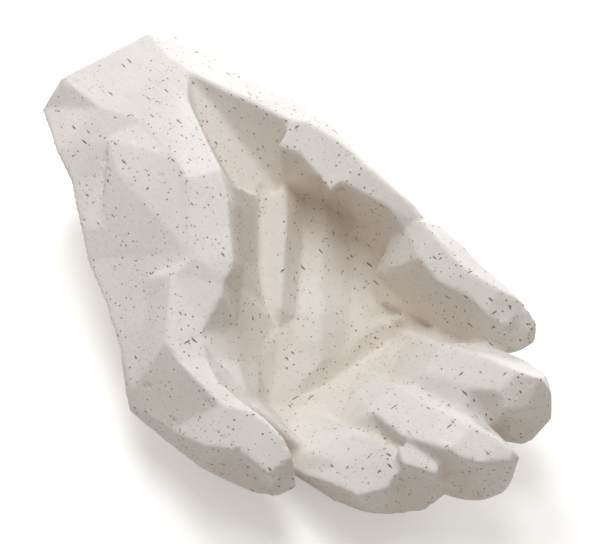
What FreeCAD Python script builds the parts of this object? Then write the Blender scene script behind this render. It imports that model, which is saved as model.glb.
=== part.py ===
import FreeCAD, Part
import os

# Sizes in millimetres. Everything below follows from them.
hand_length = 200.0
palm_width = 100.0
wrist_height = 50.0

# The hollow of the palm is cut with a tool that passes the rim by this much.
rim_overshoot = 6.0

# The base is ground flat so that the hand stands without rocking.
ground_depth = 2.5

# The thick heel of the hand is hollow, with one vent that opens under the wrist.
wall_thickness = 9.0
vent_diameter = 7.0
vent_x = -74.0
vent_y = 4.0

# Felt pads sit in shallow round recesses in the ground base.
pad_diameter = 14.0
pad_thickness = 3.0
pad_recess = 1.0
pad_clearance = 0.25
pad_places = {
    "felt_pad_heel": (-50.0, 0.0),
    "felt_pad_thumb_side": (6.0, -18.0),
    "felt_pad_little_side": (6.0, 16.0),
}

# Corner points are shares of the hand length, the palm width and the wrist height.
# X runs from the wrist to the fingertips, Y to the little finger and Z upwards.


def flat_facet(first, second, third):
    """Return a function that lifts an x and y share on to the plane of three corners."""
    run_b = [second[i] - first[i] for i in range(3)]
    run_c = [third[i] - first[i] for i in range(3)]
    area = run_b[0] * run_c[1] - run_b[1] * run_c[0]
    slope_x = (run_b[2] * run_c[1] - run_b[1] * run_c[2]) / area
    slope_y = (run_b[0] * run_c[2] - run_b[2] * run_c[0]) / area

    def lifted(x_share, y_share):
        z_share = first[2] + slope_x * (x_share - first[0]) + slope_y * (y_share - first[1])
        return (x_share, y_share, z_share)

    return lifted


# The broad cut planes of the carving: wrist top, radial side, thumb pad, both walls of the
# little-finger side, and the outer side and the top of the thumb.
wrist_flat = flat_facet((-0.50, -0.19, 1.00), (-0.50, 0.15, 1.02), (-0.40, -0.17, 1.00))
radial_side = flat_facet((-0.401, -0.17, 1.00), (-0.301, -0.25, 0.83), (-0.218, -0.48, 0.55))
thumb_pad = flat_facet((-0.301, -0.25, 0.83), (-0.222, -0.13, 1.06), (-0.066, -0.30, 0.91))
heel_wall = flat_facet((-0.398, 0.14, 1.02), (-0.195, 0.25, 1.03), (-0.240, 0.08, 0.92))
far_wall = flat_facet((-0.195, 0.25, 1.03), (-0.077, 0.34, 1.00), (-0.081, 0.18, 0.83))
thumb_side = flat_facet((0.027, -0.53, 0.80), (0.168, -0.54, 0.77), (0.110, -0.64, 0.46))
thumb_top = flat_facet((0.168, -0.54, 0.77), (0.204, -0.64, 0.68), (0.265, -0.46, 0.74))

# Each station of the palm goes round the hand: base and widest line on the thumb side, upper edge,
# crest, rim of the hollow, crest of the little-finger side, its outer edge, widest line and base,
# and the middle of the base.
palm_shares = (
    ((-0.50, -0.10, 0.24), (-0.50, -0.27, 0.82), (-0.50, -0.19, 1.00), wrist_flat(-0.50, -0.08),
     wrist_flat(-0.50, 0.04), wrist_flat(-0.50, 0.15), (-0.50, 0.31, 0.86), (-0.50, 0.33, 0.52),
     (-0.50, 0.18, 0.18), (-0.50, 0.04, 0.16)),
    ((-0.415, -0.14, 0.18), radial_side(-0.396, -0.35), wrist_flat(-0.40, -0.17),
     wrist_flat(-0.41, -0.08), wrist_flat(-0.42, 0.03), wrist_flat(-0.427, 0.14), (-0.415, 0.29, 0.92),
     (-0.415, 0.34, 0.54), (-0.415, 0.20, 0.14), (-0.415, 0.03, 0.10)),
    ((-0.32, -0.18, 0.08), radial_side(-0.344, -0.37), (-0.348, -0.22, 0.93), (-0.338, -0.10, 1.00),
     (-0.355, 0.08, 1.02), (-0.29, 0.17, 1.05), (-0.32, 0.31, 0.94), (-0.32, 0.37, 0.52),
     (-0.32, 0.24, 0.08), (-0.32, 0.02, 0.04)),
    ((-0.225, -0.22, 0.02), radial_side(-0.277, -0.43), thumb_pad(-0.301, -0.25),
     thumb_pad(-0.222, -0.13), (-0.167, 0.00, 1.00), (-0.187, 0.21, 1.05), (-0.216, 0.37, 0.96),
     (-0.225, 0.39, 0.52), (-0.225, 0.27, 0.05), (-0.225, 0.02, 0.00)),
    ((-0.135, -0.25, 0.01), thumb_pad(-0.218, -0.48), thumb_pad(-0.183, -0.33),
     thumb_pad(-0.173, -0.155), (-0.104, -0.06, 0.92), (-0.16, 0.29, 1.03), (-0.129, 0.37, 0.96),
     (-0.135, 0.40, 0.52), (-0.135, 0.29, 0.05), (-0.135, 0.01, 0.00)),
    ((-0.045, -0.27, 0.01), thumb_pad(-0.146, -0.52), thumb_pad(-0.117, -0.42),
     thumb_pad(-0.065, -0.30), (-0.019, -0.175, 0.845), (-0.085, 0.31, 1.01), (-0.073, 0.36, 0.96),
     (-0.045, 0.40, 0.52), (-0.045, 0.29, 0.05), (-0.045, 0.00, 0.00)),
    ((-0.025, -0.28, 0.02), thumb_pad(-0.111, -0.55), thumb_pad(-0.068, -0.46),
     (-0.062, -0.38, 0.87), (0.002, -0.25, 0.82), (-0.05, 0.31, 1.00), (-0.036, 0.36, 0.95),
     (-0.01, 0.40, 0.52), (-0.01, 0.29, 0.05), (-0.02, 0.00, 0.00)),
    ((0.00, -0.28, 0.03), thumb_pad(-0.066, -0.58), thumb_pad(-0.046, -0.52), (0.027, -0.53, 0.80),
     (0.045, -0.39, 0.755), (-0.015, 0.32, 0.98), (-0.002, 0.365, 0.93), (0.03, 0.39, 0.52),
     (0.03, 0.28, 0.06), (0.03, 0.00, 0.01)),
    ((0.10, -0.32, 0.05), (0.11, -0.43, 0.24), (0.11, -0.46, 0.40), (0.11, -0.44, 0.58),
     (0.11, -0.42, 0.60), (0.05, 0.34, 0.94), (0.054, 0.375, 0.90), (0.10, 0.39, 0.52),
     (0.10, 0.27, 0.09), (0.10, 0.00, 0.02)),
    ((0.17, -0.26, 0.12), (0.17, -0.42, 0.24), (0.17, -0.43, 0.40), (0.17, -0.42, 0.52),
     (0.17, -0.38, 0.56), (0.16, 0.32, 0.82), (0.16, 0.36, 0.76), (0.16, 0.37, 0.52),
     (0.16, 0.25, 0.26), (0.16, 0.00, 0.08)),
    ((0.25, -0.24, 0.24), (0.25, -0.36, 0.30), (0.25, -0.36, 0.38), (0.25, -0.32, 0.42),
     (0.25, -0.26, 0.44), (0.23, 0.28, 0.64), (0.23, 0.32, 0.60), (0.23, 0.32, 0.52),
     (0.23, 0.20, 0.34), (0.25, 0.00, 0.20)),
)

# Each station of the thumb: outer crest, inner crest, inner base, outer base, widest line, outer edge.
thumb_shares = (
    ((-0.06, -0.34, 0.68), (-0.05, -0.28, 0.60), (-0.04, -0.28, 0.28), (-0.04, -0.36, 0.16),
     (-0.06, -0.46, 0.28), (-0.06, -0.44, 0.52)),
    (thumb_side(0.027, -0.53), (0.037, -0.41, 0.76), (0.04, -0.34, 0.24), (0.01, -0.44, 0.14),
     thumb_pad(-0.066, -0.58), thumb_pad(-0.046, -0.52)),
    (thumb_side(0.068, -0.54), (0.076, -0.46, 0.73), (0.09, -0.38, 0.26), (0.05, -0.50, 0.14),
     (-0.002, -0.65, 0.38), thumb_side(0.012, -0.64)),
    (thumb_side(0.116, -0.54), (0.124, -0.49, 0.75), (0.13, -0.40, 0.28), (0.085, -0.54, 0.16),
     (0.022, -0.67, 0.34), thumb_side(0.034, -0.66)),
    (thumb_side(0.168, -0.54), (0.165, -0.48, 0.74), (0.185, -0.42, 0.32), (0.155, -0.55, 0.20),
     (0.086, -0.65, 0.32), thumb_side(0.110, -0.64)),
    (thumb_top(0.213, -0.48), (0.213, -0.46, 0.73), (0.25, -0.44, 0.38), (0.22, -0.55, 0.28),
     (0.186, -0.64, 0.40), thumb_top(0.204, -0.64)),
    (thumb_top(0.265, -0.465), (0.263, -0.46, 0.71), (0.29, -0.46, 0.42), (0.27, -0.55, 0.36),
     (0.252, -0.58, 0.38), thumb_top(0.238, -0.58)),
    (thumb_top(0.296, -0.48), (0.291, -0.47, 0.64), (0.31, -0.49, 0.50), (0.295, -0.54, 0.42),
     (0.277, -0.54, 0.42), thumb_top(0.293, -0.56)),
)

# Each row of the hollow runs from the rim on the thumb side, over the terraces of the palm and its
# floor, up to the little-finger side. The first row is the crest line.
hollow_shares = (
    ((-0.398, 0.14, 1.02), (-0.318, 0.19, 1.03), (-0.195, 0.25, 1.03), (-0.174, 0.28, 1.02),
     (-0.15, 0.31, 1.01), (-0.12, 0.33, 1.00), (-0.086, 0.34, 0.99), (-0.01, 0.35, 0.965),
     (0.037, 0.36, 0.94)),
    ((-0.261, 0.02, 1.02), heel_wall(-0.233, 0.09), heel_wall(-0.181, 0.17), far_wall(-0.132, 0.225),
     far_wall(-0.088, 0.225), far_wall(-0.058, 0.22), far_wall(-0.055, 0.26), (0.028, 0.31, 0.87),
     (0.079, 0.34, 0.87)),
    ((-0.178, -0.02, 1.01), (-0.186, 0.07, 0.80), (-0.181, 0.13, 0.62), (-0.154, 0.19, 0.65),
     (-0.137, 0.24, 0.52), (-0.106, 0.28, 0.56), (-0.079, 0.32, 0.48), (-0.035, 0.31, 0.54),
     (0.09, 0.31, 0.76)),
    ((-0.121, -0.08, 0.95), (-0.136, 0.00, 0.72), (-0.142, 0.07, 0.54), (-0.112, 0.13, 0.58),
     (-0.102, 0.19, 0.43), (-0.067, 0.21, 0.47), (-0.053, 0.29, 0.36), (-0.007, 0.30, 0.39),
     (0.10, 0.29, 0.66)),
    ((-0.029, -0.20, 0.86), (-0.055, -0.12, 0.62), (-0.079, -0.03, 0.45), (-0.037, 0.00, 0.49),
     (-0.036, 0.07, 0.35), (-0.01, 0.11, 0.39), (0.007, 0.21, 0.31), (0.041, 0.25, 0.32),
     (0.106, 0.28, 0.50)),
    ((-0.008, -0.27, 0.83), (-0.025, -0.18, 0.61), (-0.019, -0.10, 0.39), (0.014, -0.09, 0.42),
     (0.024, -0.04, 0.33), (0.048, 0.02, 0.37), (0.045, 0.15, 0.28), (0.072, 0.22, 0.28),
     (0.114, 0.28, 0.42)),
    ((0.036, -0.41, 0.755), (0.022, -0.26, 0.53), (0.021, -0.12, 0.35), (0.03, -0.12, 0.35),
     (0.058, -0.10, 0.30), (0.084, -0.04, 0.32), (0.072, 0.10, 0.26), (0.094, 0.22, 0.24),
     (0.13, 0.26, 0.40)),
    ((0.076, -0.46, 0.73), (0.073, -0.34, 0.52), (0.065, -0.25, 0.36), (0.081, -0.21, 0.28),
     (0.104, -0.19, 0.26), (0.117, -0.09, 0.25), (0.107, 0.02, 0.21), (0.113, 0.18, 0.24),
     (0.146, 0.25, 0.34)),
    ((0.174, -0.48, 0.73), (0.161, -0.43, 0.60), (0.132, -0.36, 0.42), (0.123, -0.30, 0.24),
     (0.143, -0.24, 0.19), (0.154, -0.15, 0.19), (0.13, 0.03, 0.19), (0.131, 0.19, 0.24),
     (0.16, 0.26, 0.34)),
    ((0.299, -0.46, 0.84), (0.277, -0.44, 0.72), (0.245, -0.40, 0.54), (0.192, -0.32, 0.28),
     (0.182, -0.26, 0.22), (0.184, -0.14, 0.22), (0.175, 0.05, 0.26), (0.185, 0.18, 0.36),
     (0.211, 0.26, 0.52)),
    ((0.409, -0.46, 0.92), (0.387, -0.44, 0.80), (0.355, -0.40, 0.62), (0.302, -0.32, 0.36),
     (0.292, -0.26, 0.30), (0.294, -0.14, 0.30), (0.285, 0.05, 0.34), (0.295, 0.18, 0.44),
     (0.321, 0.26, 0.60)),
)
lid_reach_share = 0.30
lid_height_shares = (1.40, 1.80)

# Each station of a finger: both crests, the little-finger side, the base on that side and on the
# thumb side, and the thumb side.
index_shares = (
    ((0.14, -0.38, 0.16), (0.15, -0.24, 0.16), (0.15, -0.18, 0.12), (0.15, -0.20, 0.06),
     (0.15, -0.36, 0.06), (0.14, -0.44, 0.12)),
    ((0.25, -0.37, 0.40), (0.213, -0.25, 0.36), (0.26, -0.14, 0.30), (0.23, -0.18, 0.08),
     (0.235, -0.37, 0.10), (0.27, -0.41, 0.34)),
    ((0.323, -0.34, 0.54), (0.30, -0.24, 0.57), (0.325, -0.14, 0.50), (0.30, -0.18, 0.14),
     (0.318, -0.36, 0.19), (0.341, -0.40, 0.50)),
    ((0.362, -0.29, 0.59), (0.343, -0.23, 0.62), (0.375, -0.13, 0.54), (0.36, -0.16, 0.18),
     (0.365, -0.32, 0.21), (0.383, -0.38, 0.54)),
    ((0.371, -0.25, 0.63), (0.37, -0.21, 0.65), (0.41, -0.12, 0.56), (0.39, -0.14, 0.22),
     (0.392, -0.28, 0.24), (0.405, -0.31, 0.59)),
    ((0.398, -0.25, 0.67), (0.387, -0.16, 0.68), (0.424, -0.15, 0.68), (0.426, -0.12, 0.36),
     (0.405, -0.24, 0.24), (0.401, -0.28, 0.52)),
    ((0.403, -0.25, 0.66), (0.444, -0.20, 0.68), (0.446, -0.18, 0.62), (0.431, -0.15, 0.35),
     (0.421, -0.20, 0.26), (0.402, -0.25, 0.28)),
)
middle_shares = (
    ((0.13, -0.18, 0.12), (0.13, 0.00, 0.12), (0.14, 0.04, 0.10), (0.15, 0.00, 0.06),
     (0.15, -0.18, 0.06), (0.13, -0.24, 0.10)),
    ((0.184, -0.08, 0.30), (0.181, 0.00, 0.32), (0.25, 0.06, 0.28), (0.22, 0.00, 0.08),
     (0.22, -0.20, 0.08), (0.23, -0.24, 0.24)),
    ((0.288, -0.18, 0.63), (0.279, -0.06, 0.66), (0.31, 0.05, 0.60), (0.29, 0.00, 0.16),
     (0.29, -0.20, 0.16), (0.31, -0.26, 0.42)),
    ((0.367, -0.20, 0.75), (0.352, -0.07, 0.77), (0.37, 0.04, 0.68), (0.35, 0.00, 0.24),
     (0.35, -0.18, 0.24), (0.385, -0.20, 0.50)),
    ((0.436, -0.15, 0.82), (0.427, -0.04, 0.83), (0.435, 0.04, 0.68), (0.42, 0.00, 0.30),
     (0.42, -0.12, 0.30), (0.45, -0.14, 0.54)),
    ((0.464, -0.13, 0.80), (0.47, -0.01, 0.82), (0.495, 0.02, 0.73), (0.475, 0.04, 0.38),
     (0.44, -0.13, 0.36), (0.44, -0.13, 0.64)),
    ((0.477, -0.10, 0.77), (0.495, -0.06, 0.77), (0.497, -0.01, 0.70), (0.484, 0.00, 0.39),
     (0.475, -0.07, 0.37), (0.459, -0.11, 0.38)),
)
ring_shares = (
    ((0.12, 0.02, 0.14), (0.12, 0.20, 0.18), (0.12, 0.26, 0.16), (0.14, 0.22, 0.08),
     (0.14, 0.00, 0.08), (0.12, -0.06, 0.12)),
    ((0.187, 0.10, 0.38), (0.173, 0.17, 0.42), (0.23, 0.27, 0.38), (0.20, 0.20, 0.12),
     (0.20, -0.02, 0.12), (0.23, -0.05, 0.30)),
    ((0.297, 0.01, 0.73), (0.272, 0.11, 0.76), (0.29, 0.27, 0.60), (0.27, 0.22, 0.24),
     (0.27, 0.01, 0.24), (0.32, -0.07, 0.62)),
    ((0.366, 0.05, 0.80), (0.352, 0.16, 0.85), (0.365, 0.29, 0.68), (0.34, 0.25, 0.34),
     (0.335, 0.05, 0.34), (0.40, -0.04, 0.68)),
    ((0.404, 0.10, 0.84), (0.397, 0.18, 0.87), (0.405, 0.29, 0.70), (0.39, 0.26, 0.40),
     (0.385, 0.07, 0.38), (0.419, 0.06, 0.64)),
    ((0.428, 0.09, 0.79), (0.419, 0.23, 0.82), (0.435, 0.25, 0.72), (0.432, 0.27, 0.50),
     (0.438, 0.15, 0.40), (0.414, 0.08, 0.56)),
    ((0.434, 0.10, 0.76), (0.44, 0.15, 0.75), (0.445, 0.22, 0.67), (0.446, 0.24, 0.53),
     (0.446, 0.17, 0.44), (0.43, 0.11, 0.52)),
)
little_shares = (
    ((0.04, 0.24, 0.40), (0.04, 0.34, 0.80), (0.04, 0.38, 0.76), (0.04, 0.38, 0.44),
     (0.05, 0.28, 0.20), (0.04, 0.20, 0.24)),
    ((0.133, 0.26, 0.83), (0.093, 0.34, 0.91), (0.092, 0.39, 0.86), (0.11, 0.40, 0.52),
     (0.12, 0.30, 0.26), (0.153, 0.24, 0.40)),
    ((0.19, 0.24, 0.84), (0.149, 0.32, 0.92), (0.149, 0.39, 0.86), (0.18, 0.39, 0.54),
     (0.19, 0.28, 0.34), (0.213, 0.23, 0.48)),
    ((0.245, 0.27, 0.85), (0.211, 0.31, 0.91), (0.222, 0.38, 0.86), (0.25, 0.38, 0.56),
     (0.25, 0.26, 0.40), (0.259, 0.25, 0.52)),
    ((0.28, 0.27, 0.83), (0.268, 0.34, 0.90), (0.301, 0.38, 0.85), (0.305, 0.36, 0.60),
     (0.305, 0.26, 0.48), (0.295, 0.26, 0.56)),
    ((0.309, 0.29, 0.79), (0.303, 0.35, 0.82), (0.332, 0.38, 0.78), (0.334, 0.38, 0.62),
     (0.318, 0.30, 0.56), (0.30, 0.27, 0.60)),
    ((0.314, 0.30, 0.72), (0.314, 0.34, 0.77), (0.333, 0.35, 0.75), (0.338, 0.35, 0.66),
     (0.335, 0.31, 0.63), (0.32, 0.29, 0.62)),
)

# How far the hollow heel goes along the palm stations, counted from the wrist.
cavity_stations = 3


def corner(shares):
    """Turn one corner's shares into a point in millimetres."""
    x_share, y_share, z_share = shares
    return FreeCAD.Vector(x_share * hand_length, y_share * palm_width, z_share * wrist_height)


def corners(stations):
    """Turn rows of shares into rows of points."""
    return [[corner(shares) for shares in station] for station in stations]


def triangle(first, second, third):
    """One flat triangular face."""
    return Part.Face(Part.makePolygon([first, second, third, first]))


def quad(near_a, near_b, far_b, far_a):
    """Two triangles that split a four-cornered patch along its shorter diagonal."""
    if near_a.distanceToPoint(far_b) < near_b.distanceToPoint(far_a):
        return [triangle(near_a, near_b, far_b), triangle(near_a, far_b, far_a)]
    return [triangle(near_a, near_b, far_a), triangle(near_b, far_b, far_a)]


def end_cap(ring):
    """Close a ring with triangles that meet in its middle."""
    middle = FreeCAD.Vector()
    for point in ring:
        middle = middle.add(point)
    middle = middle.multiply(1 / len(ring))
    return [triangle(middle, a, b) for a, b in zip(ring, ring[1:] + ring[:1])]


def faceted_loft(rings):
    """Skin rows of corner points with flat triangular facets and close both ends."""
    faces = end_cap(rings[0]) + end_cap(rings[-1])
    for near, far in zip(rings, rings[1:]):
        for i in range(len(near)):
            faces.extend(quad(near[i - 1], near[i], far[i], far[i - 1]))
    solid = Part.Solid(Part.Shell(faces))
    if solid.Volume < 0:
        solid.reverse()
    return solid


def past_rim(rim_point, wall_point):
    """Carry a rim point outwards along the wall that falls away from it."""
    direction = rim_point.sub(wall_point).normalize()
    return rim_point.add(direction.multiply(rim_overshoot))


def hollow_tool():
    """The tool that cuts the hollow of the palm, closed by a lid high above the hand."""
    rows = corners(hollow_shares)
    low_lid, high_lid = [share * wrist_height for share in lid_height_shares]
    for row in rows:
        rim = row[0]
        far = row[-1]
        far_y = far.y + lid_reach_share * palm_width
        row.append(FreeCAD.Vector(far.x, far_y, low_lid))
        row.append(FreeCAD.Vector(far.x, far_y, high_lid))
        row.append(FreeCAD.Vector(rim.x, rim.y, high_lid))
    crest_points = len(hollow_shares[0])
    for i in range(crest_points):
        rows[0][i] = past_rim(rows[0][i], rows[1][i])
    for row in rows[1:]:
        row[0] = past_rim(row[0], row[1])
    return faceted_loft(rows)


def heel_cavity():
    """The space inside the heel: its first stations moved inwards by the wall thickness."""
    rings = corners(palm_shares[:cavity_stations])
    inner = []
    for ring in rings:
        middle = FreeCAD.Vector()
        for point in ring:
            middle = middle.add(point)
        middle = middle.multiply(1 / len(ring))
        inward = []
        for point in ring:
            spoke = middle.sub(point)
            inward.append(point.add(spoke.normalize().multiply(wall_thickness)))
        inner.append(inward)
    for point in inner[0]:
        point.x = point.x + wall_thickness
    for point in inner[-1]:
        point.x = point.x - wall_thickness
    return faceted_loft(inner)


def vent():
    """The round vent hole from under the wrist into the cavity."""
    foot = FreeCAD.Vector(vent_x, vent_y, -wrist_height)
    reach = wrist_height + wrist_height / 2
    return Part.makeCylinder(vent_diameter / 2, reach, foot)


def ground_slab():
    """Everything under the level to which the base is ground."""
    slab = Part.makeBox(2 * hand_length, 2 * palm_width, wrist_height)
    slab.translate(FreeCAD.Vector(-hand_length, -palm_width, ground_depth - wrist_height))
    return slab


def pad_disc(place, diameter, bottom, top):
    """A round disc between two heights at one pad's place."""
    foot = FreeCAD.Vector(place[0], place[1], bottom)
    return Part.makeCylinder(diameter / 2, top - bottom, foot)


def hand_body():
    """The ceramic hand: palm, thumb and four fingers as one fired piece."""
    body = faceted_loft(corners(palm_shares))
    body = body.fuse(faceted_loft(corners(thumb_shares)))
    body = body.cut(hollow_tool())
    for shares in (index_shares, middle_shares, ring_shares, little_shares):
        body = body.fuse(faceted_loft(corners(shares)))
    body = body.cut(heel_cavity())
    body = body.cut(vent())
    body = body.cut(ground_slab())
    seat_diameter = pad_diameter + 2 * pad_clearance
    for place in pad_places.values():
        seat = pad_disc(place, seat_diameter, ground_depth, ground_depth + pad_recess)
        body = body.cut(seat)
    return body.removeSplitter()


def felt_pads():
    """Every felt pad, pressed up to the roof of its recess."""
    roof = ground_depth + pad_recess
    return {name: pad_disc(place, pad_diameter, roof - pad_thickness, roof)
            for name, place in pad_places.items()}


def build():
    """Build every piece and move them so that the pads stand at the origin's height."""
    pieces = {"hand_body": hand_body()}
    pieces.update(felt_pads())
    box = Part.makeCompound(list(pieces.values())).BoundBox
    move = FreeCAD.Vector(-box.Center.x, -box.Center.y, -box.ZMin)
    for shape in pieces.values():
        shape.translate(move)
    return pieces


os.makedirs("parts", exist_ok=True)
for name, shape in build().items():
    shape.exportStep("parts/" + name + ".step")
    print(name, shape.isValid(), len(shape.Solids), round(shape.Volume), shape.BoundBox)
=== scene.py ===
import logging
import math
from dataclasses import dataclass, field
from enum import Enum

import bmesh
import bpy
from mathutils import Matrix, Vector


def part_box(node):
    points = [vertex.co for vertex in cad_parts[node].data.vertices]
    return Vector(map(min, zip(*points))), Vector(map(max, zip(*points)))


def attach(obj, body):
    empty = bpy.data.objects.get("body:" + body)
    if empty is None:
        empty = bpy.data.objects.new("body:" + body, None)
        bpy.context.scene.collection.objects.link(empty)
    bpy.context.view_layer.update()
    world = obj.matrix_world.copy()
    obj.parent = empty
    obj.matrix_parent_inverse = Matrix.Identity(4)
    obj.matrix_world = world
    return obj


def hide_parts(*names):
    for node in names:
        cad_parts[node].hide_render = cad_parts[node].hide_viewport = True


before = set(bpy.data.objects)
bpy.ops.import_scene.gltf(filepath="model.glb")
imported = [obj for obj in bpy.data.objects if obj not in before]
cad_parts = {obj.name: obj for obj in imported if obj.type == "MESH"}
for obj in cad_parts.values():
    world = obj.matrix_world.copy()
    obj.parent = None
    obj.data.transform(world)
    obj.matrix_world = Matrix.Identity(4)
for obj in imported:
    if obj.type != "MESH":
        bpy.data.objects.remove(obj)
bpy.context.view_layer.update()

MM = 0.001
IMAGE_WIDTH = 595

# The golden angle in half turns. It spreads the rays evenly over the sky.
GOLDEN_HALF_TURNS = 3 - math.sqrt(5)
# The middle of a noise texture's values.
NOISE_MIDDLE = 0.5
WHITE = (1.0, 1.0, 1.0, 1.0)
X_AXIS = (1.0, 0.0, 0.0)
Z_AXIS = (0.0, 0.0, 1.0)

# The direction in which the clay was scraped, as Euler angles in radians. The mesh and the
# material both use it.
STROKE_TURN = (0.2, 0.3, 0.75)
# The band of the mottle's factor over which one colour blends into the other.
MOTTLE_BAND = (0.35, 0.65)

log = logging.getLogger("ceramic_hand")

Triple = tuple[float, float, float]
Corners = tuple[Triple, ...]

# Blocks of clay, each the convex hull of its corners, in millimetres in the part's frame. The
# first three are added to the hand: the top of the thumb pad, the tip of the index finger and the
# pad of the middle finger. The last two are cut away: a wedge in the heel of the palm, and the
# shallow valley where the fingers leave the palm.
THUMB_PAD_TOP: Corners = (
    (-68.3, -8.6, 47.0), (-67.3, 3.5, 49.1), (-44.1, 0.5, 52.4), (-56.0, -13.6, 45.5),
    (-15.6, -15.8, 45.1), (-43.6, -31.1, 29.6), (-66.0, -4.0, 38.0), (-44.0, -6.0, 38.0),
    (-22.0, -16.0, 34.0),
)
INDEX_TIP: Corners = (
    (75.3, -9.2, 36.2), (77.3, -5.7, 35.6), (81.0, -2.1, 34.6), (85.6, -1.3, 34.0),
    (81.4, -12.1, 36.5), (89.6, -6.9, 35.8), (76.3, -11.0, 32.5), (80.5, -11.5, 24.0),
    (88.5, -6.5, 24.0), (84.0, -1.0, 24.0), (76.0, -4.0, 24.0),
)
MIDDLE_PAD: Corners = (
    (89.6, 4.9, 40.3), (95.9, 2.4, 39.6), (94.5, 12.5, 40.5), (100.9, 10.7, 39.1),
    (98.9, 13.5, 39.8), (96.2, 5.7, 20.0), (97.6, 12.1, 20.0), (100.4, 13.0, 29.5),
    (90.0, 6.0, 30.0), (92.0, 12.0, 30.0),
)
HEEL_WEDGE: Corners = (
    (-75.2, 27.3, 51.1), (-37.8, 39.4, 50.9), (-60.0, 20.5, 43.5), (-36.0, 18.5, 31.0),
    (-30.0, 31.0, 29.0), (-67.6, 20.7, 51.5), (-49.9, 15.2, 52.1), (-34.3, 11.0, 52.5),
    (-29.1, 7.9, 51.5), (-75.2, 27.3, 60.0), (-37.8, 39.4, 60.0), (-67.6, 20.7, 60.0),
    (-49.9, 15.2, 60.0), (-34.3, 11.0, 60.0), (-29.1, 7.9, 60.0),
)
FINGER_CREASE: Corners = (
    (24.4, -5.0, 11.4), (22.3, 5.9, 12.8), (20.3, 19.3, 11.2), (20.5, 31.6, 12.0),
    (26.9, -8.0, 9.6), (26.9, 5.5, 7.2), (25.6, 18.6, 6.2), (26.0, 30.0, 8.0),
    (27.0, 36.0, 13.0), (31.6, 4.7, 10.4), (31.8, 16.3, 11.4), (33.8, 26.4, 16.0),
    (24.4, -5.0, 14.0), (22.3, 5.9, 16.0), (20.3, 19.3, 16.0), (20.5, 31.6, 16.0),
)


class Slot(Enum):
    """The material slots of the part's record."""

    CLAY = "clay"
    FELT = "felt"


class Sock(Enum):
    """Socket types that the node trees of this file use."""

    FLOAT = "NodeSocketFloat"
    VECTOR = "NodeSocketVector"
    INT = "NodeSocketInt"
    GEOMETRY = "NodeSocketGeometry"
    MATERIAL = "NodeSocketMaterial"


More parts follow.
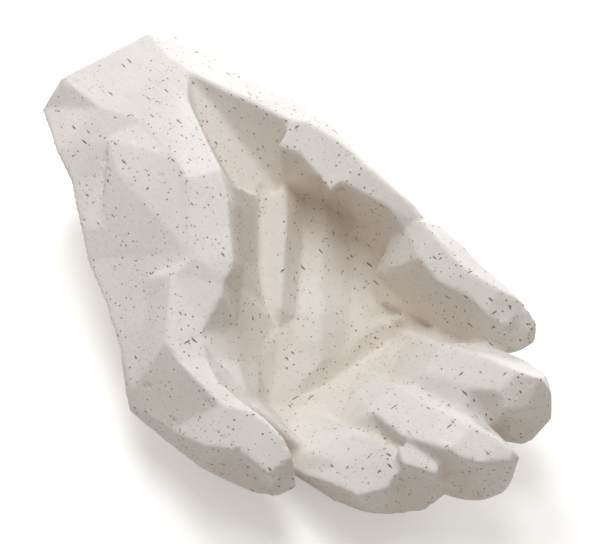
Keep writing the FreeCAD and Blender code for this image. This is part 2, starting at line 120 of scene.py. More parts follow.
class Tree:
    """A thin layer over a node tree that adds nodes and joins them by name."""

    def __init__(self, tree: bpy.types.NodeTree) -> None:
        """Keep the tree.

        Args:
            tree: The node tree to build in.
        """
        self.tree = tree

    def socket(self, name: str, kind: Sock, out: bool = False) -> None:
        """Add a named socket to the tree's interface.

        Args:
            name: The socket's name.
            kind: The socket's type.
            out: True for an output.
        """
        way = "OUTPUT" if out else "INPUT"
        self.tree.interface.new_socket(name=name, in_out=way, socket_type=kind.value)

    def node(self, kind: str, inputs: dict | None = None, **settings: object) -> bpy.types.Node:
        """Add a node.

        Args:
            kind: The node's type name.
            inputs: Values or sockets for its inputs, by name or number.
            **settings: Attributes to set on the node before its inputs.

        Returns:
            The new node.
        """
        made = self.tree.nodes.new(kind)
        for name, value in settings.items():
            setattr(made, name, value)
        for name, value in (inputs or {}).items():
            if isinstance(value, bpy.types.NodeSocket):
                self.tree.links.new(value, made.inputs[name])
            else:
                made.inputs[name].default_value = value
        return made

    def math(self, operation: str, first: object, second: object = 0.0) -> bpy.types.NodeSocket:
        """Add a Math node.

        Args:
            operation: The Math node's operation.
            first: The first value or socket.
            second: The second value or socket.

        Returns:
            The output socket.
        """
        return self.node("ShaderNodeMath", {0: first, 1: second}, operation=operation).outputs[0]

    def remap(self, value: object, low: object, high: object,
              to_low: float = 0.0, to_high: float = 1.0) -> bpy.types.NodeSocket:
        """Map one range of values smoothly to another.

        Args:
            value: The value or socket to map.
            low: The end of the source range that gives to_low.
            high: The end of the source range that gives to_high.
            to_low: The result at low.
            to_high: The result at high.

        Returns:
            The output socket.
        """
        inputs = {"Value": value, "From Min": low, "From Max": high,
                  "To Min": to_low, "To Max": to_high}
        made = self.node("ShaderNodeMapRange", inputs, interpolation_type="SMOOTHSTEP")
        return made.outputs["Result"]

    def scaled(self, vector: object, factor: object) -> bpy.types.NodeSocket:
        """Multiply a vector by a number.

        Args:
            vector: The vector or socket.
            factor: The number or socket.

        Returns:
            The output socket.
        """
        made = self.node("ShaderNodeVectorMath", {0: vector, "Scale": factor}, operation="SCALE")
        return made.outputs[0]

    def moved(self, vector: object, offset: object) -> bpy.types.NodeSocket:
        """Add one vector to another.

        Args:
            vector: The first vector or socket.
            offset: The second vector or socket.

        Returns:
            The output socket.
        """
        return self.node("ShaderNodeVectorMath", {0: vector, 1: offset}, operation="ADD").outputs[0]

    def noise(self, vector: object, scale: object, detail: float,
              roughness: float = 0.5) -> bpy.types.NodeSocket:
        """Add a noise texture.

        Args:
            vector: The coordinates.
            scale: The noise's scale.
            detail: How many octaves it has.
            roughness: How strong the finer octaves are.

        Returns:
            The socket of the noise's factor.
        """
        inputs = {"Vector": vector, "Scale": scale, "Detail": detail, "Roughness": roughness}
        return self.node("ShaderNodeTexNoise", inputs).outputs[0]

    def mixed(self, factor: object, first: object, second: object) -> bpy.types.NodeSocket:
        """Blend two colours.

        Args:
            factor: 0 for the first colour, 1 for the second.
            first: The first colour or socket.
            second: The second colour or socket.

        Returns:
            The output socket.
        """
        made = self.node("ShaderNodeMix", {0: factor, 6: first, 7: second}, data_type="RGBA")
        return made.outputs[2]

    def attribute(self, name: str) -> bpy.types.NodeSocket:
        """Read a float attribute of the mesh in a material.

        Args:
            name: The attribute's name.

        Returns:
            The output socket.
        """
        return self.node("ShaderNodeAttribute", attribute_name=name).outputs["Fac"]

    def random(self, low: float, high: float, seed: int) -> bpy.types.NodeSocket:
        """Draw a random number for each point.

        Args:
            low: The lowest number.
            high: The highest number.
            seed: The seed of the draw.

        Returns:
            The output socket.
        """
        inputs = {2: low, 3: high, "Seed": seed}
        return self.node("FunctionNodeRandomValue", inputs, data_type="FLOAT").outputs[1]

    def turned(self, rotation: object, axis: Triple, angle: object) -> bpy.types.NodeSocket:
        """Turn a rotation about one of its own axes.

        Args:
            rotation: The rotation to start from.
            axis: The axis.
            angle: The angle in radians.

        Returns:
            The output socket.
        """
        turn = self.node("FunctionNodeAxisAngleToRotation", {"Axis": axis, "Angle": angle})
        inputs = {"Rotation": rotation, "Rotate By": turn.outputs[0]}
        return self.node("FunctionNodeRotateRotation", inputs, rotation_space="LOCAL").outputs[0]

    def stored(self, surface: object, name: str, value: object) -> bpy.types.NodeSocket:
        """Store a value on each point of a surface for the material.

        Args:
            surface: The surface's socket.
            name: The attribute's name.
            value: The value's socket.

        Returns:
            The socket of the surface with the attribute.
        """
        made = self.node("GeometryNodeStoreNamedAttribute",
                         {"Geometry": surface, "Name": name, "Value": value},
                         data_type="FLOAT", domain="POINT")
        return made.outputs[0]

    def link(self, source: bpy.types.NodeSocket, target: bpy.types.NodeSocket) -> None:
        """Join two sockets.

        Args:
            source: The output.
            target: The input.
        """
        self.tree.links.new(source, target)


def object_of(name: str, mesh: bpy.types.Mesh) -> bpy.types.Object:
    """Put a mesh in the scene as an object at the origin.

    Args:
        name: The object's name.
        mesh: Its mesh.

    Returns:
        The new object.
    """
    made = bpy.data.objects.new(name, mesh)
    bpy.context.scene.collection.objects.link(made)
    return made


def mesh_of(name: str, work: bmesh.types.BMesh) -> bpy.types.Mesh:
    """Turn an edit mesh into a plain one and free it.

    Args:
        name: The mesh's name.
        work: The edit mesh.

    Returns:
        The new mesh.
    """
    mesh = bpy.data.meshes.new(name)
    work.to_mesh(mesh)
    work.free()
    return mesh


def material_of(name: str) -> tuple[bpy.types.Material, Tree, bpy.types.Node]:
    """Start a material.

    Args:
        name: The material's name.

    Returns:
        The material, its tree and its Principled shader.
    """
    made = bpy.data.materials.new(name)
    made.use_nodes = True
    return made, Tree(made.node_tree), made.node_tree.nodes["Principled BSDF"]


def keep_largest(mesh: bpy.types.Mesh) -> None:
    """Delete every loose part of a mesh but the largest one.

    Args:
        mesh: The mesh, changed in place.
    """
    work = bmesh.new()
    work.from_mesh(mesh)
    seen: set[bmesh.types.BMVert] = set()
    parts = []
    for start in work.verts:
        if start in seen:
            continue
        seen.add(start)
        part = [start]
        for vert in part:
            near = [edge.other_vert(vert) for edge in vert.link_edges]
            fresh = [other for other in near if other not in seen]
            seen.update(fresh)
            part.extend(fresh)
        parts.append(part)
    parts.sort(key=len)
    loose = [vert for part in parts[:-1] for vert in part]
    bmesh.ops.delete(work, geom=loose, context="VERTS")
    work.to_mesh(mesh)
    work.free()


def block(name: str, corners: Corners) -> bpy.types.Object:
    """Make the convex block that a set of corners spans.

    Args:
        name: The object's name.
        corners: The corners in millimetres.

    Returns:
        The new object.
    """
    work = bmesh.new()
    points = [work.verts.new(Vector(corner) * MM) for corner in corners]
    bmesh.ops.convex_hull(work, input=points)
    bmesh.ops.recalc_face_normals(work, faces=work.faces)
    return object_of(name, mesh_of(name, work))


def settle(piece: bpy.types.Object) -> None:
    """Turn what a piece's modifiers make into its own plain mesh.

    Args:
        piece: The object whose modifiers are to be applied.
    """
    graph = bpy.context.evaluated_depsgraph_get()
    plain = bpy.data.meshes.new_from_object(piece.evaluated_get(graph), depsgraph=graph)
    piece.modifiers.clear()
    piece.data = plain


def nodes_on(piece: bpy.types.Object, tree: bpy.types.NodeTree, values: dict[str, object]) -> None:
    """Run a Geometry Nodes tree on a piece and keep the result as a plain mesh.

    Args:
        piece: The object to change.
        tree: The Geometry Nodes tree.
        values: The tree's inputs by name.
    """
    modifier = piece.modifiers.new(tree.name, "NODES")
    modifier.node_group = tree
    for item in tree.interface.items_tree:
        if item.item_type == "SOCKET" and item.in_out == "INPUT" and item.name in values:
            modifier[item.identifier] = values[item.name]
    settle(piece)


def geometry_tree(name: str, lengths: tuple[str, ...]) -> tuple[bpy.types.NodeTree, Tree]:
    """Start a Geometry Nodes tree with a geometry, lengths or rates, a seed and a material.

    Args:
        name: The tree's name.
        lengths: The names of its float inputs.

    Returns:
        The node tree and the layer that builds in it.
    """
    group = bpy.data.node_groups.new(name, "GeometryNodeTree")
    t = Tree(group)
    t.socket("Geometry", Sock.GEOMETRY)
    for length in lengths:
        t.socket(length, Sock.FLOAT)
    t.socket("Seed", Sock.INT)
    t.socket("Material", Sock.MATERIAL)
    t.socket("Geometry", Sock.GEOMETRY, out=True)
    return group, t


def mottle_group() -> bpy.types.NodeTree:
    """Build the soft cloudy variation that the clay and the felt share.

    Returns:
        A shader node group that gives a factor around one half.
    """
    group = bpy.data.node_groups.new("Soft mottle", "ShaderNodeTree")
    t = Tree(group)
    t.socket("Vector", Sock.VECTOR)
    for name in ("Coarse Scale", "Fine Scale", "Fine Share"):
        t.socket(name, Sock.FLOAT)
    t.socket("Factor", Sock.FLOAT, out=True)
    given = t.node("NodeGroupInput").outputs
    coarse = t.noise(given["Vector"], given["Coarse Scale"], detail=3.0, roughness=0.55)
    fine = t.noise(given["Vector"], given["Fine Scale"], detail=2.0, roughness=0.6)
    both = t.node("ShaderNodeMix", {0: given["Fine Share"], 2: coarse, 3: fine}, data_type="FLOAT")
    t.node("NodeGroupOutput", {"Factor": both.outputs[0]})
    return group


@dataclass(frozen=True)
class PoreFamily:
    """One family of small dark pits in the clay.

    Attributes:
        spacing: The distance between two cells of the pattern.
        radius: The pits' radius before stretching.
        share: The share of the cells that hold a pit.
        stretch: How the pattern is drawn out along its own axes.
        turn: How the pattern is turned, in degrees.
        smallest: The smallest pit, as a factor of the radius.
        largest: The largest pit, as a factor of the radius.
        core: The share of a pit's radius that is fully dark.
    """

    spacing: float
    radius: float
    share: float
    stretch: Triple = (1.0, 1.0, 1.0)
    turn: Triple = (0.0, 0.0, 0.0)
    smallest: float = 0.45
    largest: float = 1.25
    core: float = 0.45

    def mask(self, t: Tree, where: object) -> bpy.types.NodeSocket:
        """Add the pits to a material.

        Args:
            t: The material's tree.
            where: The coordinates.

        Returns:
            A mask that is 1 in the pits.
        """
        rotation = tuple(math.radians(angle) for angle in self.turn)
        mapping = t.node("ShaderNodeMapping",
                         {"Vector": where, "Rotation": rotation, "Scale": self.stretch})
        cells = t.node("ShaderNodeTexVoronoi",
                       {"Vector": mapping.outputs[0], "Scale": 1 / self.spacing, "Randomness": 1.0},
                       feature="F1")
        drawn = t.node("ShaderNodeSeparateColor", {0: cells.outputs["Color"]}).outputs
        size = t.remap(drawn[0], 0.0, 1.0, self.smallest, self.largest)
        reach = t.math("MULTIPLY", size, self.radius / self.spacing)
        inner = t.math("MULTIPLY", reach, self.core)
        hole = t.remap(cells.outputs["Distance"], reach, inner)
        return t.math("MULTIPLY", hole, t.math("LESS_THAN", drawn[1], self.share))


@dataclass(frozen=True)
class ClayFinish:
    """Matt, unglazed clay with coarse grains: pores, drag marks and the grain of the body, with
    painted shade in its hollows and inside its pores.
    """

    light: Triple = (0.86, 0.83, 0.80)
    warm: Triple = (0.80, 0.765, 0.73)
    # The colour of the painted shade where the hand hides the sky.
    recess_shade_colour: Triple = (0.79, 0.72, 0.645)
    # The colour of the painted shade inside pores, drag marks and pits.
    pore_shade: Triple = (0.24, 0.175, 0.125)
    pore_shade_strength: float = 0.85
    specular: float = 0.28
    roughness: float = 0.88
    roughness_swing: float = 0.06
    mottle_coarse: float = 38.0
    mottle_fine: float = 900.0
    mottle_share: float = 0.35
    drift: float = 0.9 * MM
    drift_scale: float = 220.0
    grain_scale: float = 1500.0
    grain_depth: float = 0.10 * MM
    grain_band: tuple[float, float] = (0.3, 0.7)
    stroke_scale: float = 900.0
    stroke_draw: Triple = (0.12, 1.0, 1.0)
    stroke_depth: float = 0.12 * MM
    pore_depth: float = 0.45 * MM
    bump_strength: float = 0.8
    shelter_band: tuple[float, float] = (0.25, 0.85)
    pit_band: tuple[float, float] = (0.45, 1.0)
    pit_shade: float = 0.8
    pores: tuple[PoreFamily, ...] = (
        # Small and tiny round pores.
        PoreFamily(1.7 * MM, 0.30 * MM, 0.75),
        PoreFamily(1.02 * MM, 0.165 * MM, 0.6, turn=(20.0, 35.0, 50.0)),
        # Drag marks in two directions.
        PoreFamily(1.9 * MM, 0.285 * MM, 0.75, (0.18, 1.0, 1.0), (0.0, 0.0, 38.0)),
        PoreFamily(2.28 * MM, 0.27 * MM, 0.65, (1.0, 0.18, 1.0), (10.0, 0.0, -20.0)),
    )

    def material(self, mottle: bpy.types.NodeTree) -> bpy.types.Material:
        """Build the clay's material.

        Args:
            mottle: The shared variation group.

        Returns:
            The finished material.
        """
        made, t, shader = material_of("matt_clay")
        shader.inputs["Specular IOR Level"].default_value = self.specular
        place = t.node("ShaderNodeTexCoord").outputs["Object"]
        holes = self.holes(t, place)
        t.link(self.colour(t, place, holes, mottle), shader.inputs["Base Color"])
        grain = t.noise(place, self.grain_scale, detail=4.0, roughness=0.65)
        rough = t.remap(grain, *self.grain_band, self.roughness - self.roughness_swing,
                        self.roughness + self.roughness_swing)
        t.link(rough, shader.inputs["Roughness"])
        drawn = t.node("ShaderNodeMapping", {"Vector": place, "Rotation": STROKE_TURN,
                                             "Scale": self.stroke_draw}).outputs[0]
        strokes = t.noise(drawn, self.stroke_scale, detail=3.0)
        relief = t.math("ADD", t.math("MULTIPLY", grain, self.grain_depth / MM),
                        t.math("MULTIPLY", strokes, self.stroke_depth / MM))
        height = t.math("SUBTRACT", relief, t.math("MULTIPLY", holes, self.pore_depth / MM))
        bump = t.node("ShaderNodeBump",
                      {"Height": height, "Distance": MM, "Strength": self.bump_strength})
        t.link(bump.outputs[0], shader.inputs["Normal"])
        return made

    def holes(self, t: Tree, place: object) -> bpy.types.NodeSocket:
        """Join every family of pores, with coordinates that drift a little.

        Args:
            t: The material's tree.
            place: The object's coordinates.

        Returns:
            A mask that is 1 in the pores.
        """
        drift = t.node("ShaderNodeTexNoise",
                       {"Vector": place, "Scale": self.drift_scale, "Detail": 2.0})
        where = t.moved(place, t.scaled(drift.outputs["Color"], self.drift))
        mask, *others = [family.mask(t, where) for family in self.pores]
        for other in others:
            mask = t.math("MAXIMUM", mask, other)
        return mask

    def colour(self, t: Tree, place: object, holes: object,
               mottle: bpy.types.NodeTree) -> bpy.types.NodeSocket:
        """Mix the clay's colour: mottled, with painted shade that darkens and warms it where the
        hand hides the sky, and darkest in pores and pits, where the dark is painted shade inside
        the dents.

        Args:
            t: The material's tree.
            place: The object's coordinates.
            holes: The pores' mask.
            mottle: The shared variation group.

        Returns:
            The colour's socket.
        """
        cloud = t.node("ShaderNodeGroup", {"Vector": place, "Coarse Scale": self.mottle_coarse,
                                           "Fine Scale": self.mottle_fine,
                                           "Fine Share": self.mottle_share}, node_tree=mottle)
        blend = t.remap(cloud.outputs[0], *MOTTLE_BAND)
        body = t.mixed(blend, (*self.warm, 1.0), (*self.light, 1.0))
        # Painted shade: the colour turns darker and warmer where the hand hides more of the sky.
        painted_shade_share = t.remap(t.attribute("shelter"), *self.shelter_band)
        painted_shade_body = t.mixed(painted_shade_share, body, (*self.recess_shade_colour, 1.0))
        # Painted shade: pores, drag marks and pits are real dents, and their dark colour is painted
        # shade inside them.
        pits = t.remap(t.attribute("pit"), *self.pit_band, 0.0, self.pit_shade)
        strength = t.math("MULTIPLY", t.math("MAXIMUM", holes, pits), self.pore_shade_strength)
        return t.mixed(strength, painted_shade_body, (*self.pore_shade, 1.0))


@dataclass(frozen=True)
class FeltFinish:
    """Pressed wool felt in a light grey-beige."""

    light: Triple = (0.80, 0.77, 0.72)
    dark: Triple = (0.60, 0.56, 0.50)
    roughness: float = 0.95
    sheen: float = 0.35
    sheen_roughness: float = 0.5
    mottle_coarse: float = 500.0
    mottle_fine: float = 3000.0
    mottle_share: float = 0.5
    bump_depth: float = 0.3 * MM
    bump_strength: float = 0.6

    def material(self, mottle: bpy.types.NodeTree) -> bpy.types.Material:
        """Build the felt's material.

        Args:
            mottle: The shared variation group.

        Returns:
            The finished material.
        """
        made, t, shader = material_of("pressed_felt")
        shader.inputs["Roughness"].default_value = self.roughness
        shader.inputs["Sheen Weight"].default_value = self.sheen
        shader.inputs["Sheen Roughness"].default_value = self.sheen_roughness
        place = t.node("ShaderNodeTexCoord").outputs["Object"]
        cloud = t.node("ShaderNodeGroup", {"Vector": place, "Coarse Scale": self.mottle_coarse,
                                           "Fine Scale": self.mottle_fine,
                                           "Fine Share": self.mottle_share}, node_tree=mottle)
        blend = t.remap(cloud.outputs[0], *MOTTLE_BAND)
        t.link(t.mixed(blend, (*self.dark, 1.0), (*self.light, 1.0)), shader.inputs["Base Color"])
        bump = t.node("ShaderNodeBump", {"Height": cloud.outputs[0], "Distance": self.bump_depth,
                                         "Strength": self.bump_strength})
        t.link(bump.outputs[0], shader.inputs["Normal"])
        return made


@dataclass
class ClayHand:
    """The hand itself, made from the carved solid.

    It gains the added clay, loses the late cuts, and gets softened edges, tool marks and open pits.
    """

    node: str = "hand_body"
    added_clay: tuple[Corners, ...] = (THUMB_PAD_TOP, INDEX_TIP, MIDDLE_PAD)
    late_cuts: tuple[Corners, ...] = (HEEL_WEDGE, FINGER_CREASE)
    weld: float = 0.001 * MM
    voxel: float = 0.90 * MM
    edge_softness: float = 0.5
    edge_passes: int = 1
    wave: float = 0.12 * MM
    wave_scale: float = 70.0
    stroke: float = 0.12 * MM
    stroke_scale: float = 330.0
    stroke_draw: Triple = (0.15, 1.0, 1.0)
    pit_depth: float = 0.55 * MM
    pit_reach: float = 0.62 * MM
    pit_length: float = 2.2 * MM
    pits_per_m2: float = 3500.0
    pit_turn: float = 0.5
    pit_size_power: float = 2.5
    seed: int = 7
    turn_seed: int = 11
    size_seed: int = 12
    # How much sky the hand hides; it only drives the painted shade in the clay's colour.
    shelter_rays: int = 28
    shelter_gap: float = 0.5 * MM
    shelter_reach: float = 90.0 * MM

    def solid(self) -> bpy.types.Object:
        """Copy the carved solid, add and cut the blocks, mesh it evenly and soften its edges.

        Returns:
            The new object.
        """
        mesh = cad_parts[self.node].data.copy()
        mesh.materials.clear()
        work = bmesh.new()
        work.from_mesh(mesh)
        bmesh.ops.remove_doubles(work, verts=work.verts, dist=self.weld)
        work.to_mesh(mesh)
        work.free()
        piece = object_of("clay_hand", mesh)
        for corners in self.added_clay:
            self.combine(piece, corners, "UNION")
        for corners in self.late_cuts:
            self.combine(piece, corners, "DIFFERENCE")
        remesh = piece.modifiers.new("Even mesh", "REMESH")
        remesh.mode = "VOXEL"
        remesh.voxel_size = self.voxel
        smooth = piece.modifiers.new("Soft edges", "SMOOTH")
        smooth.factor = self.edge_softness
        smooth.iterations = self.edge_passes
        settle(piece)
        keep_largest(piece.data)
        return piece

    def combine(self, piece: bpy.types.Object, corners: Corners, operation: str) -> None:
        """Add a block of clay to the hand or cut one away.

        Args:
            piece: The hand.
            corners: The block's corners in millimetres.
            operation: The Boolean operation.
        """
        tool = block("carving_block", corners)
        carve = piece.modifiers.new("Carving", "BOOLEAN")
        carve.operation = operation
        carve.solver = "EXACT"
        carve.object = tool
        settle(piece)
        bpy.data.objects.remove(tool)

    def surface_tree(self) -> bpy.types.NodeTree:
        """Build the tree that carves tool marks and open pits into the surface.

        Returns:
            The Geometry Nodes tree.
        """
        group, t = geometry_tree("Carved clay surface", (
            "Wave Height", "Stroke Height", "Pit Depth", "Pit Reach", "Pit Length",
            "Pits Per Square Metre"))
        given = t.node("NodeGroupInput").outputs
        pit = self.pits(t, given)
        marks = self.tool_marks(t, given)
        raised = t.math("SUBTRACT", marks, t.math("MULTIPLY", pit, given["Pit Depth"]))
        offset = t.scaled(t.node("GeometryNodeInputNormal").outputs[0], raised)
        moved = t.node("GeometryNodeSetPosition",
                       {"Geometry": given["Geometry"], "Offset": offset})
        # The pits' mask is also stored for the painted shade inside them.
        pitted = t.stored(moved.outputs[0], "pit", pit)
        # Store the share of hidden sky for the painted shade in the clay's colour.
        shaded = t.stored(pitted, "shelter", self.shelter(t, pitted))
        plain = t.node("GeometryNodeRealizeInstances", {"Geometry": shaded})
        soft = t.node("GeometryNodeSetShadeSmooth",
                      {"Geometry": plain.outputs[0], "Shade Smooth": True})
        dressed = t.node("GeometryNodeSetMaterial",
                         {"Geometry": soft.outputs[0], "Material": given["Material"]})
        t.node("NodeGroupOutput", {"Geometry": dressed.outputs[0]})
        return group

    def pits(self, t: Tree, given: bpy.types.NodeOutputs) -> bpy.types.NodeSocket:
        """Scatter short scratches over the surface and measure how near they are.

        Args:
            t: The tree to build in.
            given: The tree's inputs.

        Returns:
            A mask that is 1 in the middle of a scratch.
        """
        spots = t.node("GeometryNodeDistributePointsOnFaces",
                       {"Mesh": given["Geometry"], "Density": given["Pits Per Square Metre"],
                        "Seed": given["Seed"]}, distribute_method="RANDOM").outputs
        length = t.node("ShaderNodeCombineXYZ", {"X": given["Pit Length"]}).outputs[0]
        line = t.node("GeometryNodeMeshLine", {"Count": 2, "Offset": length}).outputs[0]
        turn = t.random(-self.pit_turn, self.pit_turn, self.turn_seed)
        facing = t.turned(spots["Rotation"], Z_AXIS, turn)
        size = t.math("POWER", t.random(0.0, 1.0, self.size_seed), self.pit_size_power)
        dents = t.node("GeometryNodeInstanceOnPoints",
                       {"Points": spots["Points"], "Instance": line, "Rotation": facing,
                        "Scale": size}).outputs[0]
        dents = t.node("GeometryNodeRealizeInstances", {"Geometry": dents}).outputs[0]
        near = t.node("GeometryNodeProximity", {0: dents}, target_element="EDGES")
        return t.remap(near.outputs["Distance"], given["Pit Reach"], 0.0)

    def tool_marks(self, t: Tree, given: bpy.types.NodeOutputs) -> bpy.types.NodeSocket:
        """Make the height of the soft waves and the scraping strokes.

        Args:
            t: The tree to build in.
            given: The tree's inputs.

        Returns:
            The height's socket.
        """
        place = t.node("GeometryNodeInputPosition").outputs[0]
        wave = t.math("SUBTRACT", t.noise(place, self.wave_scale, detail=1.0), NOISE_MIDDLE)
        drawn = t.node("ShaderNodeVectorRotate", {"Vector": place, "Rotation": STROKE_TURN},
                       rotation_type="EULER_XYZ").outputs[0]
        drawn = t.node("ShaderNodeVectorMath", {0: drawn, 1: self.stroke_draw},
                       operation="MULTIPLY").outputs[0]
        stroke = t.math("SUBTRACT", t.noise(drawn, self.stroke_scale, detail=2.0), NOISE_MIDDLE)
        return t.math("ADD", t.math("MULTIPLY", wave, given["Wave Height"]),
                      t.math("MULTIPLY", stroke, given["Stroke Height"]))

    def shelter(self, t: Tree, surface: bpy.types.NodeSocket) -> bpy.types.NodeSocket:
        """Measure how much of the sky the hand itself hides from each point.

        Args:
            t: The tree to build in.
            surface: The hand's surface.

        Returns:
            The hidden share, from 0 to 1.
        """
        place = t.node("GeometryNodeInputPosition").outputs[0]
        normal = t.node("GeometryNodeInputNormal").outputs[0]
        start = t.moved(place, t.scaled(normal, self.shelter_gap))
        hidden = 0.0
        for step in range(self.shelter_rays):
            height = (step + 0.5) / self.shelter_rays
            reach = math.sqrt(1 - height * height)
            turn = step * math.pi * GOLDEN_HALF_TURNS
            direction = (reach * math.cos(turn), reach * math.sin(turn), height)
            ray = t.node("GeometryNodeRaycast",
                         {"Target Geometry": surface, "Source Position": start,
                          "Ray Length": self.shelter_reach, "Ray Direction": direction})
            hidden = t.math("ADD", ray.outputs["Is Hit"], hidden)
        return t.math("DIVIDE", hidden, float(self.shelter_rays))

    def build(self, clay: bpy.types.Material) -> bpy.types.Object:
        """Make the hand and tie it to the frame.

        Args:
            clay: The clay's material.

        Returns:
            The finished piece.
        """
        piece = self.solid()
        values = {"Wave Height": self.wave, "Stroke Height": self.stroke,
                  "Pit Depth": self.pit_depth, "Pit Reach": self.pit_reach,
                  "Pit Length": self.pit_length, "Pits Per Square Metre": self.pits_per_m2,
                  "Seed": self.seed, "Material": clay}
        nodes_on(piece, self.surface_tree(), values)
        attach(piece, "root")
        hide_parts(self.node)
        log.info("clay hand: %d faces", len(piece.data.polygons))
        return piece


@dataclass
class FeltPads:
    """The felt discs under the hand, with a pressed rim and loose fibres."""

    nodes: tuple[str, ...] = ("felt_pad_heel", "felt_pad_thumb_side", "felt_pad_little_side")
    rim_steps: int = 48
    rim_round: float = 0.5 * MM
    inner_ring: float = 0.35
    outer_ring: float = 0.7
    rim_cut: float = 0.3
    ripple: float = 0.006
    ripple_lobes: int = 5
    ripple_lean: float = 900.0
    side_limit: float = 0.3
    fibre_length: float = 0.9 * MM
    fibre_radius: float = 0.03 * MM
    fibre_sides: int = 3
    fibre_spin: float = 3.1
    fibre_lean: float = 1.35
    fibres_per_m2: float = 3.0e6
    seed: int = 3
    spin_seed: int = 4

    def profile(self, radius: float, low: float, high: float) -> list[tuple[float, float]]:
        """List the rings of a pad from its underside to its top.

        Args:
            radius: The pad's radius.
            low: The height of its underside.
            high: The height of its top.

        Returns:
            Each ring's radius and height.
        """
        soft = self.rim_round
        return [(radius * self.inner_ring, low), (radius * self.outer_ring, low),
                (radius - soft, low), (radius - self.rim_cut * soft, low + self.rim_cut * soft),
                (radius, low + soft), (radius, high - soft), (radius - soft, high)]

    def disc(self, name: str) -> bpy.types.Object:
        """Turn one pad's outline into a disc with a rounded, slightly uneven rim.

        Args:
            name: The CAD node that the pad replaces.

        Returns:
            The new object.
        """
        low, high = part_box(name)
        radius = (high[0] - low[0]) / 2
        centre = ((low[0] + high[0]) / 2, (low[1] + high[1]) / 2)
        work = bmesh.new()
        rings = []
        for reach, level in self.profile(radius, low[2], high[2]):
            ring = []
            for step in range(self.rim_steps):
                angle = 2 * math.pi * step / self.rim_steps
                wave = 1 + math.sin(self.ripple_lobes * angle + level * self.ripple_lean)
                out = reach * (1 - self.ripple * wave)
                ring.append(work.verts.new((centre[0] + out * math.cos(angle),
                                            centre[1] + out * math.sin(angle), level)))
            rings.append(ring)
        for inner, outer in zip(rings, rings[1:]):
            for step in range(self.rim_steps):
                after = (step + 1) % self.rim_steps
                work.faces.new((inner[step], inner[after], outer[after], outer[step]))
        for ring, level in ((rings[0], low[2]), (rings[-1], high[2])):
            middle = work.verts.new((centre[0], centre[1], level))
            for step in range(self.rim_steps):
                work.faces.new((middle, ring[step], ring[(step + 1) % self.rim_steps]))
        bmesh.ops.recalc_face_normals(work, faces=work.faces)
        return object_of(name + "_pad", mesh_of(name + "_pad", work))

    def fibre_tree(self) -> bpy.types.NodeTree:
        """Build the tree that scatters short fibres over the pad's side.

        Returns:
            The Geometry Nodes tree.
        """
        group, t = geometry_tree("Felt fibres", (
            "Fibre Length", "Fibre Radius", "Fibres Per Square Metre"))
        given = t.node("NodeGroupInput").outputs
        normal = t.node("GeometryNodeInputNormal").outputs[0]
        upright = t.node("ShaderNodeSeparateXYZ", {0: normal}).outputs[2]
        side = t.math("LESS_THAN", t.math("ABSOLUTE", upright), self.side_limit)
        spots = t.node("GeometryNodeDistributePointsOnFaces",
                       {"Mesh": given["Geometry"], "Selection": side,
                        "Density": given["Fibres Per Square Metre"], "Seed": given["Seed"]},
                       distribute_method="RANDOM").outputs
        fibre = t.node("GeometryNodeMeshCylinder",
                       {"Vertices": self.fibre_sides, "Radius": given["Fibre Radius"],
                        "Depth": given["Fibre Length"]}, fill_type="NONE").outputs[0]
        turn = t.random(-self.fibre_spin, self.fibre_spin, self.spin_seed)
        facing = t.turned(spots["Rotation"], Z_AXIS, turn)
        facing = t.turned(facing, X_AXIS, self.fibre_lean)
        fuzz = t.node("GeometryNodeInstanceOnPoints",
                      {"Points": spots["Points"], "Instance": fibre, "Rotation": facing})
        both = t.node("GeometryNodeJoinGeometry")
        t.link(given["Geometry"], both.inputs[0])
        t.link(fuzz.outputs[0], both.inputs[0])
        plain = t.node("GeometryNodeRealizeInstances", {"Geometry": both.outputs[0]})
        dressed = t.node("GeometryNodeSetMaterial",
                         {"Geometry": plain.outputs[0], "Material": given["Material"]})
        t.node("NodeGroupOutput", {"Geometry": dressed.outputs[0]})
        return group

    def build(self, felt: bpy.types.Material) -> list[bpy.types.Object]:
        """Make every pad and tie it to the frame.

        Args:
            felt: The felt's material.

        Returns:
            The finished pieces.
        """
        tree = self.fibre_tree()
        values = {"Fibre Length": self.fibre_length, "Fibre Radius": self.fibre_radius,
                  "Fibres Per Square Metre": self.fibres_per_m2, "Seed": self.seed,
                  "Material": felt}
        made = []
        for name in self.nodes:
            piece = self.disc(name)
            nodes_on(piece, tree, values)
            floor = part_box(name)[0][2]
            for vertex in piece.data.vertices:
                vertex.co.z = max(vertex.co.z, floor)
            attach(piece, "root")
            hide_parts(name)
            log.info("%s: %d faces", piece.name, len(piece.data.polygons))
            made.append(piece)
        return made


@dataclass(frozen=True)
class Lamp:
    """One soft square studio lamp."""

    name: str
    direction: Triple
    power: float
    colour: Triple = (0.93, 0.965, 1.0)
    distance: float = 0.78
    size: float = 0.32

    def build(self, target: Vector) -> bpy.types.Object:
        """Hang the lamp in its direction from the object and turn it to it.

        Args:
            target: The point that the lamp looks at.

        Returns:
            The lamp's object.
        """
        data = bpy.data.lights.new(self.name, "AREA")
        data.shape = "SQUARE"
        data.size = self.size
        data.energy = self.power
        data.color = self.colour
        made = bpy.data.objects.new(self.name, data)
        bpy.context.scene.collection.objects.link(made)
        away = Vector(self.direction).normalized()
        made.location = target + away * self.distance
        made.rotation_euler = away.to_track_quat("Z", "Y").to_euler()
        return made


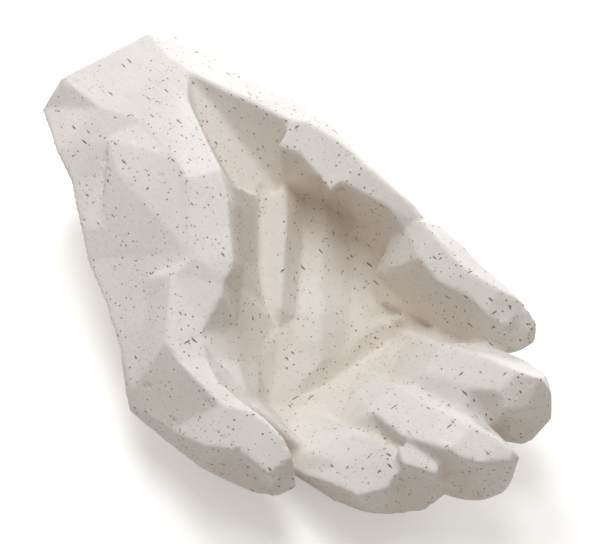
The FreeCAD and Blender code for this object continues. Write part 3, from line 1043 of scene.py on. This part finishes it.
@dataclass
class Studio:
    """The white table, the soft lamps and the camera at the photograph's viewing angle."""

    azimuth: float = 52.0
    elevation: float = 47.0
    distance: float = 0.650
    focal_pixels: float = 2112.5
    sensor_mm: float = 36.0
    nearest: float = 0.01
    farthest: float = 20.0
    target: Triple = (0.0003, 0.0135, 0.0295)
    world_light: float = 0.30
    world_colour: Triple = (1.0, 0.90, 0.78)
    floor_size: float = 3.0
    floor_grey: float = 0.92
    floor_roughness: float = 0.9
    floor_lift: float = 0.35
    lamps: tuple[Lamp, ...] = field(default_factory=lambda: (
        Lamp("side lamp", (-0.495, 0.858, 0.139), 3.9),
        Lamp("wrist lamp", (-0.539, 0.196, 0.819), 2.7),
        Lamp("top lamp", (0.0, 0.0, 1.0), 1.6, (0.95, 0.975, 1.0)),
    ))

    def floor(self) -> bpy.types.Object:
        """Lay the white table that keeps the object's soft shadow.

        Returns:
            The floor's object.
        """
        work = bmesh.new()
        bmesh.ops.create_grid(work, x_segments=1, y_segments=1, size=self.floor_size)
        made = object_of("table", mesh_of("table", work))
        paint, t, shader = material_of("white_table")
        grey = self.floor_grey
        shader.inputs["Base Color"].default_value = (grey, grey, grey, 1.0)
        shader.inputs["Roughness"].default_value = self.floor_roughness
        shader.inputs["Emission Color"].default_value = WHITE
        seen = t.node("ShaderNodeLightPath").outputs["Is Camera Ray"]
        lift = t.math("MULTIPLY", seen, self.floor_lift)
        t.link(lift, shader.inputs["Emission Strength"])
        made.data.materials.append(paint)
        return made

    def world(self) -> None:
        """Light the scene evenly and show white where the camera sees the world."""
        world = bpy.data.worlds.new("studio")
        world.use_nodes = True
        bpy.context.scene.world = world
        t = Tree(world.node_tree)
        light = world.node_tree.nodes["Background"]
        light.inputs["Color"].default_value = (*self.world_colour, 1.0)
        light.inputs["Strength"].default_value = self.world_light
        white = t.node("ShaderNodeBackground", {"Color": WHITE, "Strength": 1.0})
        seen = t.node("ShaderNodeLightPath").outputs["Is Camera Ray"]
        mix = t.node("ShaderNodeMixShader", {0: seen, 1: light.outputs[0], 2: white.outputs[0]})
        t.link(mix.outputs[0], world.node_tree.nodes["World Output"].inputs["Surface"])

    def camera(self) -> bpy.types.Object:
        """Place the camera at the photograph's angle and distance.

        Returns:
            The camera's object.
        """
        turn = math.radians(self.azimuth)
        lift = math.radians(self.elevation)
        back = Vector((math.sin(turn) * math.cos(lift), -math.cos(turn) * math.cos(lift),
                       math.sin(lift)))
        data = bpy.data.cameras.new("camera")
        data.sensor_width = self.sensor_mm
        data.lens = self.focal_pixels * data.sensor_width / IMAGE_WIDTH
        data.clip_start = self.nearest
        data.clip_end = self.farthest
        made = bpy.data.objects.new("camera", data)
        bpy.context.scene.collection.objects.link(made)
        made.location = Vector(self.target) + back * self.distance
        made.rotation_euler = back.to_track_quat("Z", "Y").to_euler()
        bpy.context.scene.camera = made
        return made

    def build(self) -> None:
        """Set up the whole studio."""
        bpy.context.scene.view_settings.view_transform = "Standard"
        self.floor()
        self.world()
        for lamp in self.lamps:
            lamp.build(Vector(self.target))
        self.camera()
        log.info("studio: %d lamps, camera %.0f mm away", len(self.lamps), self.distance / MM)


def main() -> None:
    """Build the pieces in order and light them."""
    logging.basicConfig(level=logging.INFO, format="%(message)s")
    mottle = mottle_group()
    ClayHand().build(ClayFinish().material(mottle))
    FeltPads().build(FeltFinish().material(mottle))
    Studio().build()


if __name__ == "__main__":
    main()
